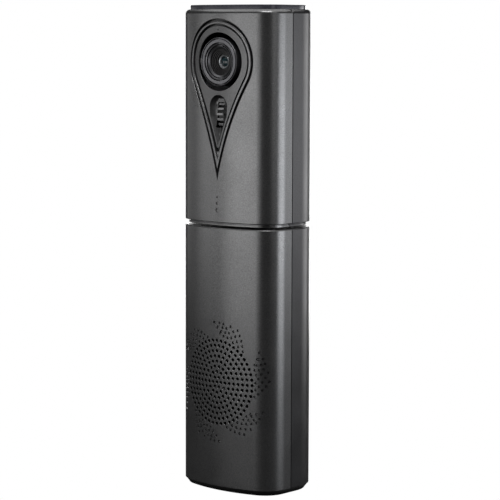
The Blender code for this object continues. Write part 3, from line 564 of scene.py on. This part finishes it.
def glass_material():
    """Dark coated glass, with a faint blue-green coating that varies over the surface."""
    material, shader = new_material("coated_glass", 0.0, ior=1.4)
    colour = ramp(material, noise(material, 220), (0.004, 0.009, 0.012), (0.012, 0.028, 0.033))
    material.node_tree.links.new(colour, shader.inputs["Base Color"])
    rough = ramp(material, noise(material, 900), 0.06, 0.12)
    material.node_tree.links.new(rough, shader.inputs["Roughness"])
    return material


def rib_material_with_painted_shade():
    """Grey plastic on the crests of the thumb wheel, with painted shade darkening it down in its grooves."""
    material, shader = new_material("ribs", 0.2)
    tree = material.node_tree
    place = tree.nodes.new("ShaderNodeTexCoord")
    mapping = tree.nodes.new("ShaderNodeMapping")
    mapping.inputs["Location"].default_value = (0, -WHEEL_Y, -WHEEL_Z)
    mapping.inputs["Scale"].default_value = (0, 1, 1)
    length = tree.nodes.new("ShaderNodeVectorMath")
    length.operation = "LENGTH"
    # Painted shade: the colour falls to 2% below the crests, by distance from the wheel's axis, standing in for
    # the grooves' shadow
    shade = tree.nodes.new("ShaderNodeMapRange")
    shade.inputs["From Min"].default_value = WHEEL_RADIUS - 0.5 * WHEEL_DEEP
    shade.inputs["From Max"].default_value = WHEEL_RADIUS - 0.1 * WHEEL_DEEP
    shade.inputs["To Min"].default_value = 0.02
    tree.links.new(place.outputs["Object"], mapping.inputs["Vector"])
    tree.links.new(mapping.outputs["Vector"], length.inputs[0])
    tree.links.new(length.outputs["Value"], shade.inputs["Value"])
    grain = ramp(material, noise(material, 1400), (0.15, 0.15, 0.153), (0.22, 0.22, 0.224))
    colour = tree.nodes.new("ShaderNodeVectorMath")
    colour.operation = "SCALE"
    tree.links.new(grain, colour.inputs[0])
    tree.links.new(shade.outputs["Result"], colour.inputs["Scale"])
    tree.links.new(colour.outputs["Vector"], shader.inputs["Base Color"])
    tree.links.new(ramp(material, noise(material, 300), 0.40, 0.48), shader.inputs["Roughness"])
    return material


material_table["glass"] = glass_material()
material_table["ribs"] = rib_material_with_painted_shade()
node_slots = {part["node"]: part["material_slot"] for part in frame["record"]["subparts"]}


def finish_piece(item, body, slot, *nodes, material=None):
    """Puts a piece on its body with its material, in place of the CAD nodes it stands for."""
    item.data.materials.clear()
    item.data.materials.append(material_table[material or slot])
    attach(item, body)
    if nodes:
        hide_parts(*nodes)


def finish_frame():
    """Gives every CAD node the procedural material of its slot."""
    for name, item in frame["nodes"].items():
        item.data.materials.clear()
        item.data.materials.append(material_table[node_slots[name]])


# ---------------------------------------------------------------- teardrop

def teardrop_centre():
    """Centre of the right flank's arc, from the lens axis."""
    drop = LENS_Z - DROP_TIP_Z
    reach = DROP_RADIUS + DROP_FLANK
    cz = (DROP_FLANK ** 2 - reach ** 2 - drop ** 2) / (2 * drop)
    return math.sqrt(reach ** 2 - cz ** 2), cz


DROP_CX, DROP_CZ = teardrop_centre()
DROP_TOUCH = math.atan2(DROP_CZ, DROP_CX)


def flank_angles(end):
    """Angles along a flank's arc: the same ones for every offset, then the tip's own."""
    touch = math.pi + DROP_TOUCH
    count = int((end - touch) / FLANK_STEP - 0.3)
    return [end] + [touch + i * FLANK_STEP for i in range(count, -1, -1)]


def teardrop(offset):
    """The teardrop outline moved inwards by an offset, as (s, z) points."""
    radius, flank = DROP_RADIUS - offset, DROP_FLANK + offset
    if offset < 0:
        end = math.pi - math.asin((offset + DROP_TIP_Z - LENS_Z - DROP_CZ) / flank)
    else:
        end = math.pi - math.acos(DROP_CX / flank)
    right = [(DROP_CX + flank * math.cos(a), LENS_Z + DROP_CZ + flank * math.sin(a))
             for a in flank_angles(end)]
    if offset >= 0:
        right[0] = (0.0, right[0][1])
    ring = [(radius * math.cos(a), LENS_Z + radius * math.sin(a))
            for a in steps(DROP_TOUCH, math.pi - DROP_TOUCH, 84)]
    left = [(-x, z) for x, z in right[::-1] if x > 0]
    return right[:-1] + ring + left[1:]


def drop_offset(s, z):
    """Which offset of the teardrop passes through a point: positive inside."""
    s, z = abs(s), z - LENS_Z
    if math.atan2(z, s) >= DROP_TOUCH:
        return DROP_RADIUS - math.hypot(s, z)
    return math.dist((s, z), (DROP_CX, DROP_CZ)) - DROP_FLANK


# ---------------------------------------------------------------- lower unit

def grille_features():
    """Centres of the speaker's through holes, and of the blind dimples in six petals."""
    holes = [(0.0, SPEAKER_Z)]
    for ring in range(1, HOLE_RINGS + 1):
        holes += circle(0, SPEAKER_Z, ring * RING_PITCH, 6 * ring)
    # Degrees round the petal where each diagonal starts, and its number of dimples
    diagonals = ((0, 5), (8.7, 5), (17.5, 5), (27.0, 4), (33.0, 4), (38.5, 3))
    first_turn, lean = 46.4, 4.5
    dimples = []
    for petal in range(PETALS):
        for turn, count in diagonals:
            start = PETAL_INNER + (5 - count) * 1.2 * MM
            for i in range(count):
                radius = start + (PETAL_OUTER - start) * i / (count - 1)
                angle = math.radians(first_turn + 360 / PETALS * petal + turn + lean * i)
                dimples.append((radius * math.cos(angle), SPEAKER_Z + radius * math.sin(angle)))
    return holes, dimples


def make_lower_shells():
    holes, dimples = grille_features()
    tree = kdtree.KDTree(len(holes) + len(dimples))
    for i, (s, z) in enumerate(holes + dimples):
        tree.insert((s, z, 0), i)
    tree.balance()
    loops = [circle(s, z, HOLE_RADIUS, 16) for s, z in holes]
    rings = [circle(s, z, HOLE_RADIUS + HOLE_EDGE, 16) for s, z in holes]
    for s, z in dimples:
        rings += [circle(s, z, DIMPLE_RADIUS * share, 12) for share in (1.0, 0.88, 0.5)]

    def drop(s, z):
        _, index, distance = tree.find((s, z, 0))
        if index < len(holes):
            return HOLE_EDGE if distance < HOLE_RADIUS + HOLE_EDGE / 2 else 0.0
        share = distance / DIMPLE_RADIUS
        return DIMPLE_DEPTH * (1 - share ** 4) ** 0.6 if share < 0.999 else 0.0

    def near(s, z):
        return tree.find((s, z, 0))[2] < 1.6 * MM

    top_round, low_round = 0.9 * MM, 0.5 * MM
    low = arc_rows(low_round, LOWER_LOW + low_round, low_round, 0, -90, 4)
    low += [(WALL, LOWER_LOW), (WALL, LOWER_LOW + low_round)]
    high = arc_rows(top_round, LOWER_HIGH - top_round, top_round, 0, 90, 5)
    high += [(WALL, LOWER_HIGH), (WALL, LOWER_HIGH - top_round)]
    front = wall_shell("lower_front_skin", FRONT, low, high, loops, rings, drop, near)
    finish_piece(front, "base", "graphite", "lower_front_shell")

    middle, tall = (PORT_LOW + PORT_HIGH) / 2, PORT_HIGH - PORT_LOW
    loop = rounded_box(middle, 2 * PORT_HALF, tall, PORT_CORNER)
    ring = rounded_box(middle, 2 * (PORT_HALF + PORT_EDGE), tall + 2 * PORT_EDGE, PORT_CORNER + PORT_EDGE)

    def reach(s, z):
        return box_reach(s, z - middle, PORT_HALF, tall / 2, PORT_CORNER)

    def recess(s, z):
        return 0.75 * PORT_EDGE if reach(s, z) < PORT_EDGE / 2 else 0.0

    def near_recess(s, z):
        return reach(s, z) < 3 * PORT_EDGE

    rear = wall_shell("lower_rear_skin", REAR, low, high, [loop], [ring], recess, near_recess)
    finish_piece(rear, "base", "charcoal", "lower_rear_shell")


def rounded_box(cz, width, height, corner):
    """A rounded rectangle on the centre line, as a loop of points."""
    points = []
    for qx, qz, start in ((1, -1, -90), (1, 1, 0), (-1, 1, 90), (-1, -1, 180)):
        x, z = qx * (width / 2 - corner), cz + qz * (height / 2 - corner)
        for degrees in steps(start, start + 90, 6):
            a = math.radians(degrees)
            points.append((x + corner * math.cos(a), z + corner * math.sin(a)))
    return points


def box_reach(x, z, half_x, half_z, corner):
    """Distance outside a rounded rectangle about the origin; negative inside."""
    dx, dz = abs(x) - (half_x - corner), abs(z) - (half_z - corner)
    outside = math.hypot(max(dx, 0), max(dz, 0))
    return outside + min(max(dx, dz), 0) - corner


def make_foot():
    rows = [(9.0 * MM, 0.4 * MM), (4.4 * MM, 0.4 * MM), (4.0 * MM, 0), (3.3 * MM, 0), (3.05 * MM, 0.15 * MM),
            (1.5 * MM, 2.3 * MM), (1.25 * MM, 2.6 * MM), (1.2 * MM, FOOT_TOP)]
    finish_piece(lofted("foot", rows), "base", "rubber", "foot_pad")


# ---------------------------------------------------------------- head

def make_head_shells():
    lip = RIM_INSET + WALL
    corner = 0.4 * MM
    low = [(0, UPPER_LOW + 4.4 * MM)]
    low += arc_rows(corner, UPPER_LOW + 2.4 * MM + corner, corner, 0, -75, 4)
    low += [(RIM_INSET + 0.9 * MM, UPPER_LOW + 1.85 * MM), (RIM_INSET + 0.9 * MM, UPPER_LOW + 1.4 * MM),
            (RIM_INSET + 0.1 * MM, UPPER_LOW + 1.35 * MM), (RIM_INSET, UPPER_LOW + 1.25 * MM),
            (RIM_INSET, UPPER_LOW + 0.15 * MM), (RIM_INSET + 0.15 * MM, UPPER_LOW)]
    low += [(lip, UPPER_LOW), (lip, UPPER_LOW + 3.0 * MM), (WALL, UPPER_LOW + 4.4 * MM)]
    high = arc_rows(TOP_EDGE, UPPER_HIGH - TOP_EDGE, TOP_EDGE, 0, 90, 9)
    high += [(TOP_LIP, UPPER_HIGH), (TOP_LIP, UPPER_HIGH - 1.6 * MM), (WALL, UPPER_HIGH - TOP_EDGE)]
    edge = 0.3 * MM
    loops = [teardrop(0)] + [circle(0, z, r, 20) for z, r in LAMPS]
    rings = [teardrop(-edge), teardrop(-0.4 * edge)]
    rings += [circle(0, z, r + LAMP_EDGE, 20) for z, r in LAMPS]

    def drop(s, z):
        for cz, r in LAMPS:
            if math.dist((s, z), (0, cz)) < r + LAMP_EDGE / 3:
                return 2 * LAMP_EDGE
        if z > DROP_TIP_Z - 1 * MM:
            return ease(-drop_offset(s, z), edge)
        return 0.0

    def near(s, z):
        if any(math.dist((s, z), (0, cz)) < r + 0.8 * MM for cz, r in LAMPS):
            return True
        return z > DROP_TIP_Z - 3 * MM and drop_offset(s, z) > -1.6 * MM

    front = wall_shell("upper_front_skin", FRONT, low, high, loops, rings, drop, near)
    finish_piece(front, "head", "graphite", "upper_front_shell")
    rear = wall_shell("upper_rear_skin", REAR, low, high)
    finish_piece(rear, "head", "charcoal", "upper_rear_shell")


def make_cap():
    inset = TOP_LIP + 0.15 * MM
    edge = 0.45 * MM
    rows = [(inset, UPPER_HIGH - 2.0 * MM), (inset, CAP_TOP - edge)]
    rows += arc_rows(inset + edge, CAP_TOP - edge, edge, 0, 90, 6)[1:]
    rows += [(inset + 2.2 * MM, CAP_TOP)]
    finish_piece(lofted("top_plate", rows), "head", "cap", "top_cap")


def make_rim():
    loops = [teardrop(RIM_OUT), teardrop(RIM_IN), circle(0, SENSOR_Z, SENSOR_RADIUS, 16)]
    rings = [teardrop(RIM_OUT + RIM_EDGE * t) for t in (0.15, 0.5, 1.0)]
    rings += [teardrop(RIM_IN - RIM_EDGE * t) for t in (-0.2, 0.15, 0.5, 1.0)]
    across = [[(-4 * MM, TIP_TOP), (4 * MM, TIP_TOP)]]

    def region(s, z):
        k = drop_offset(s, z)
        hole = math.dist((s, z), (0, SENSOR_Z)) < SENSOR_RADIUS
        band = RIM_OUT < k < RIM_IN or (k > RIM_OUT and z < TIP_TOP)
        return band and z > DROP_TIP_Z and not hole

    def front(s, z):
        k = drop_offset(s, z)
        if k > RIM_IN + 0.1 * RIM_EDGE:
            return TIP_DEPTH
        return max(ease(k - RIM_OUT, RIM_EDGE), ease(RIM_IN - k, RIM_EDGE))

    piece = plate("rim", loops, region, front, lambda s, z: GROOVE_FLOOR, rings, across)
    finish_piece(piece, "head", "graphite", "teardrop_rim")


def scoop_reach(s, z):
    """How far a point lies inside the finger scoop; negative outside."""
    s = abs(s)
    flank = drop_offset(s, z) - SCOOP_OFFSET
    if z > SCOOP_Z:
        return SCOOP_RADIUS - math.hypot(s, z - SCOOP_Z)
    return min(flank, SCOOP_RADIUS - s)


def scoop_ring(inset):
    """The scoop's outline moved inwards."""
    radius = SCOOP_RADIUS - inset
    top = [(radius * math.cos(a), SCOOP_Z + radius * math.sin(a)) for a in steps(0, math.pi, 28)]
    flanks = [(s, z) for s, z in teardrop(SCOOP_OFFSET + inset) if z < SCOOP_Z and abs(s) < radius]
    tip = [p for p in flanks if p[0] == 0]
    return tip + [p for p in flanks if p[0] > 0] + top + [p for p in flanks if p[0] < 0]


def make_face():
    slot_z, slot_tall = (SLOT_LOW + SLOT_HIGH) / 2, SLOT_HIGH - SLOT_LOW
    slot = rounded_box(slot_z, 2 * SLOT_HALF, slot_tall, SLOT_CORNER)
    loops = [teardrop(FACE_OUT), circle(0, LENS_Z, LENS_OPENING, 96), slot,
             circle(0, MIC_Z, MIC_RADIUS, 14)]
    rings = [teardrop(FACE_OUT + FACE_EDGE), circle(0, LENS_Z, LENS_OPENING + FACE_EDGE, 96)]
    rings += [scoop_ring(SCOOP_SLOPE * t) for t in (0.0, 0.05, 0.12, 0.22, 0.34, 0.48, 0.65)]
    arch = [(ARCH_RADIUS * math.cos(a), ARCH_Z + ARCH_RADIUS * math.sin(a)) for a in steps(0, math.pi, 20)]

    def region(s, z):
        holes = [math.dist((s, z), (0, LENS_Z)) < LENS_OPENING,
                 math.dist((s, z), (0, MIC_Z)) < MIC_RADIUS,
                 z < ARCH_Z or math.dist((s, z), (0, ARCH_Z)) < ARCH_RADIUS,
                 box_reach(s, z - slot_z, SLOT_HALF, slot_tall / 2, SLOT_CORNER) < 0]
        return drop_offset(s, z) > FACE_OUT and z > DROP_TIP_Z and not any(holes)

    def front(s, z):
        k = min(drop_offset(s, z) - FACE_OUT, math.dist((s, z), (0, LENS_Z)) - LENS_OPENING)
        rise = math.sin(math.atan2(max(z - SCOOP_Z, 0), abs(s) + 1e-9))
        slope = SCOOP_SLOPE * (1 - 0.68 * rise)
        t = min(max(scoop_reach(s, z) / slope, 0.0), 1.0)
        return FACE_RECESS + ease(k, FACE_EDGE) + SCOOP_DEPTH * math.sin(math.pi / 2 * t)

    dots = [(i * 3 * MM, j * 3 * MM) for i in range(-9, 10) for j in range(80, 110)]
    dots = [(s, z) for s, z in dots if region(s, z) and scoop_reach(s, z) < -0.6 * MM
            and drop_offset(s, z) > FACE_OUT + 1 * MM and math.dist((s, z), (0, LENS_Z)) > 21.2 * MM]
    piece = plate("faceplate", loops, region, front, lambda s, z: front(s, z) + FACE_THICK,
                  rings, [arch], dots)
    finish_piece(piece, "head", "graphite", "lens_faceplate", material="face")

    lap, inner = -1.0 * MM, 5.8 * MM
    band = [teardrop(lap), teardrop(inner)]

    def in_band(s, z):
        return lap < drop_offset(s, z) < inner and z > DROP_TIP_Z - 2 * MM

    carrier = plate("bezel_floor", band, in_band,
                    lambda s, z: GROOVE_FLOOR, lambda s, z: GROOVE_FLOOR + 1.2 * MM,
                    dots=[(i * 2 * MM, j * 2 * MM) for i in range(-15, 16) for j in range(110, 166)])
    finish_piece(carrier, "head", "black_plastic", "bezel_carrier")


# ---------------------------------------------------------------- lens and wheel

def make_lens():
    rings = [
        (9.3, 1.75), (9.45, 1.5), (10.75, 0.85), (10.85, 0.9), (10.88, 2.8), (11.5, 2.8), (11.55, 0.6),
        (11.7, 0.5), (12.4, 0.3), (12.5, 0.35), (12.53, 2.6), (13.2, 2.6), (13.25, 0.12), (13.4, 0.0),
        (15.3, 0.0), (15.42, 0.1), (15.45, 2.6), (16.1, 2.6), (16.15, 0.06), (16.45, 0.0), (16.7, 0.2),
        (16.7, 18.6), (16.3, 19.0), (9.3, 19.0)]
    housing = turned("lens_body", rings, 128)
    finish_piece(housing, "lens", "graphite", "lens_housing", material="lens_metal")
    baffle = [(4.95, 6.3), (5.0, 5.9)]
    for i in range(5):
        r, d = 5.2 + 0.78 * i, 5.9 - 0.84 * i
        baffle += [(r + 0.52, d), (r + 0.60, d - 0.72)]
    baffle += [(9.05, 1.8), (9.2, 1.85), (9.2, 15.0), (0, 15.0), (0, 9.0), (4.95, 9.0)]
    barrel = turned("lens_baffle", baffle)
    finish_piece(barrel, "lens", "black_plastic", "lens_barrel", material="lens_black")
    collar = [(3.35, 6.6), (3.5, 6.0), (3.75, 5.5), (4.5, 5.25), (4.85, 5.6), (4.85, 8.5), (3.35, 8.5)]
    finish_piece(turned("lens_collar", collar), "lens", "graphite", material="collar")
    glass_radius, bulge, half_angle = 3.3, 0.95, 1.2
    flat = math.cos(half_angle)
    dome = [(glass_radius * math.sin(a), 6.75 - bulge * (math.cos(a) - flat) / (1 - flat))
            for a in steps(0, half_angle, 10)]
    dome = [(r / math.sin(half_angle), d) for r, d in dome]
    glass = dome + [(glass_radius, 8.2), (0, 8.2)]
    finish_piece(turned("lens_glass", glass, 64), "lens", "glass", "front_glass")


def make_wheel():
    profile = []
    for i in range(WHEEL_RIBS):
        middle = 2 * math.pi * (i + 0.34) / WHEEL_RIBS
        half = math.pi / WHEEL_RIBS
        for turn, dip in ((-0.44, 0.2), (-0.36, 0.03), (0.0, 0.0), (0.36, 0.03), (0.44, 0.2),
                          (0.52, 1.0), (1.48, 1.0)):
            profile.append((WHEEL_RADIUS - dip * WHEEL_DEEP, middle + turn * half))
    rows = []
    for x, shrink in ((-WHEEL_HALF, WHEEL_EASE), (-WHEEL_HALF + WHEEL_BEVEL, 0.0),
                      (WHEEL_HALF - WHEEL_BEVEL, 0.0), (WHEEL_HALF, WHEEL_EASE)):
        rows.append([(x, WHEEL_Y + (r - shrink) * math.cos(a), WHEEL_Z + (r - shrink) * math.sin(a))
                     for r, a in profile])
    piece = make_object("ribbed_wheel", np.vstack(rows), stacked_faces(len(profile), len(rows)))
    finish_piece(piece, "tilt_wheel", "black_plastic", "thumb_wheel", material="ribs")


# ---------------------------------------------------------------- studio

SOFTBOX_DISTANCE = 1.5


def softbox(name, azimuth, width, power, colour=(1, 1, 1), low=0.10, high=1.40):
    """An upright softbox at an azimuth from the front (-Y) towards +X."""
    a = math.radians(azimuth)
    middle = (low + high) / 2
    place = Vector((SOFTBOX_DISTANCE * math.sin(a), -SOFTBOX_DISTANCE * math.cos(a), middle))
    area_light(name, place, Vector((0, 0, middle)), width, high - low, power, colour)


def area_light(name, place, target, width, height, power, colour=(1, 1, 1)):
    data = bpy.data.lights.new(name, "AREA")
    data.shape = "RECTANGLE"
    data.size, data.size_y = width, height
    data.energy = power
    data.color = colour
    lamp = bpy.data.objects.new(name, data)
    bpy.context.scene.collection.objects.link(lamp)
    lamp.location = place
    lamp.rotation_euler = (target - place).to_track_quat("-Z", "Y").to_euler()
    lamp.visible_camera = False


def stage_material(name):
    """Plain white light of its own, with nothing reflected."""
    material, shader = new_material(name)
    shader.inputs["Base Color"].default_value = (0, 0, 0, 1)
    shader.inputs["Specular IOR Level"].default_value = 0.0
    shader.inputs["Emission Color"].default_value = (1, 1, 1, 1)
    shader.inputs["Emission Strength"].default_value = 1.0
    return material


def make_studio():
    softbox("front_left", -50, 0.7, 1.7, low=0.0, high=0.42)
    softbox("front", -15, 1.0, 4.8, low=-0.05, high=0.42)
    softbox("front_edge", 10, 0.38, 0.8, low=0.0, high=0.42)
    softbox("far_left", -82, 0.6, 0.6, low=0.0, high=0.42)
    softbox("side_fill", 74, 0.47, 1.8)
    softbox("side_low", 108, 0.75, 6.0, (0.95, 0.97, 1.0), low=-0.10, high=0.35)
    softbox("side_back", 130, 0.7, 2.2, (0.95, 0.97, 1.0), low=0.0, high=0.42)
    softbox("back_right", 160, 0.7, 4.6, low=-0.10, high=0.45)
    softbox("back", 215, 1.0, 9.0, low=-0.10, high=0.5)
    area_light("overhead", Vector((0, 0, 1.6)), Vector((0, 0, 0.3)), 3.2, 3.2, 60)
    area_light("spark", Vector((0.75, -0.85, 1.5)), Vector((0, 0, 0.3)), 0.9, 0.35, 14)
    world = bpy.data.worlds.new("studio")
    world.use_nodes = True
    world.node_tree.nodes["Background"].inputs["Color"].default_value = (1, 1, 1, 1)
    world.node_tree.nodes["Background"].inputs["Strength"].default_value = 0.05
    bpy.context.scene.world = world

    bpy.ops.mesh.primitive_circle_add(vertices=96, radius=4.0, fill_type="NGON", location=(0, 0, -0.0002))
    floor = bpy.context.object
    floor.name = "floor"
    floor.data.materials.append(stage_material("pale_floor"))
    bpy.ops.mesh.primitive_uv_sphere_add(segments=64, ring_count=32, radius=5.0, location=(0, 0, 0))
    dome = bpy.context.object
    dome.name = "backdrop"
    dome.data.materials.append(stage_material("pale_backdrop"))
    for ray in ("glossy", "diffuse", "transmission", "shadow", "volume_scatter"):
        setattr(floor, f"visible_{ray}", False)
        setattr(dome, f"visible_{ray}", False)


def make_camera():
    """The viewpoint: to the right of the front, a little below the top, looking slightly down."""
    azimuth, distance, height = math.radians(41.23), 1.4504, 0.3176
    pitch, roll, aside = math.radians(-5.89), math.radians(0.17), 1.13 * MM
    right = Vector((math.cos(azimuth), math.sin(azimuth), 0))
    place = Vector((math.sin(azimuth) * distance, -math.cos(azimuth) * distance, height)) + aside * right
    level = math.cos(pitch)
    look = Vector((-math.sin(azimuth) * level, math.cos(azimuth) * level, math.sin(pitch)))
    data = bpy.data.cameras.new("camera")
    data.sensor_width = 36
    data.lens = 148.38
    data.clip_start, data.clip_end = 0.05, 50
    camera = bpy.data.objects.new("camera", data)
    bpy.context.scene.collection.objects.link(camera)
    camera.location = place
    turn = look.to_track_quat("-Z", "Y").to_matrix() @ Matrix.Rotation(roll, 3, "Z")
    camera.rotation_euler = turn.to_euler()
    bpy.context.scene.camera = camera
    bpy.context.scene.view_settings.view_transform = "Standard"


finish_frame()
make_lower_shells()
make_foot()
make_head_shells()
make_cap()
make_rim()
make_face()
make_lens()
make_wheel()
make_studio()
make_camera()
